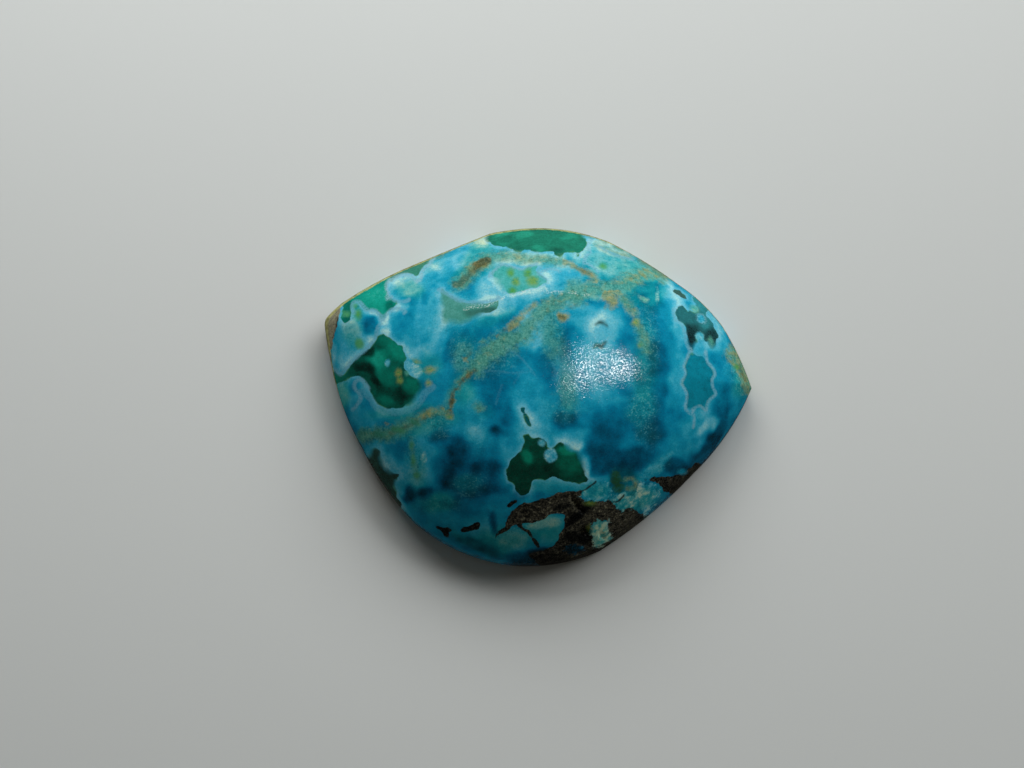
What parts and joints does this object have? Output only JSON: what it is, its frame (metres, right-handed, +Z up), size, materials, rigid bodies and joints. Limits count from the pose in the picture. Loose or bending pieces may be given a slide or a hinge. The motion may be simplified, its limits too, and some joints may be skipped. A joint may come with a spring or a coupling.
{
  "type": "chrysocolla cabochon",
  "caption": "Polished chrysocolla stone: a tall freeform dome with a blunt tip and a sharp tip, on an upright girdle and a flat ground back.",
  "frame": {"origin": "centre of the outline's bounding box, on the flat ground back that the stone rests on", "axes": "+X along the stone's length, from the blunt tip towards the sharp tip; +Z up, from the back through the dome; +Y towards the side with the steeper shoulder, away from the brown host rock"},
  "size_m": [0.042, 0.0338, 0.0102],
  "materials": {
    "polished_chrysocolla": "polished"
  },
  "bodies": {
    "root": {"cabochon": "polished_chrysocolla"}
  },
  "joints": []
}
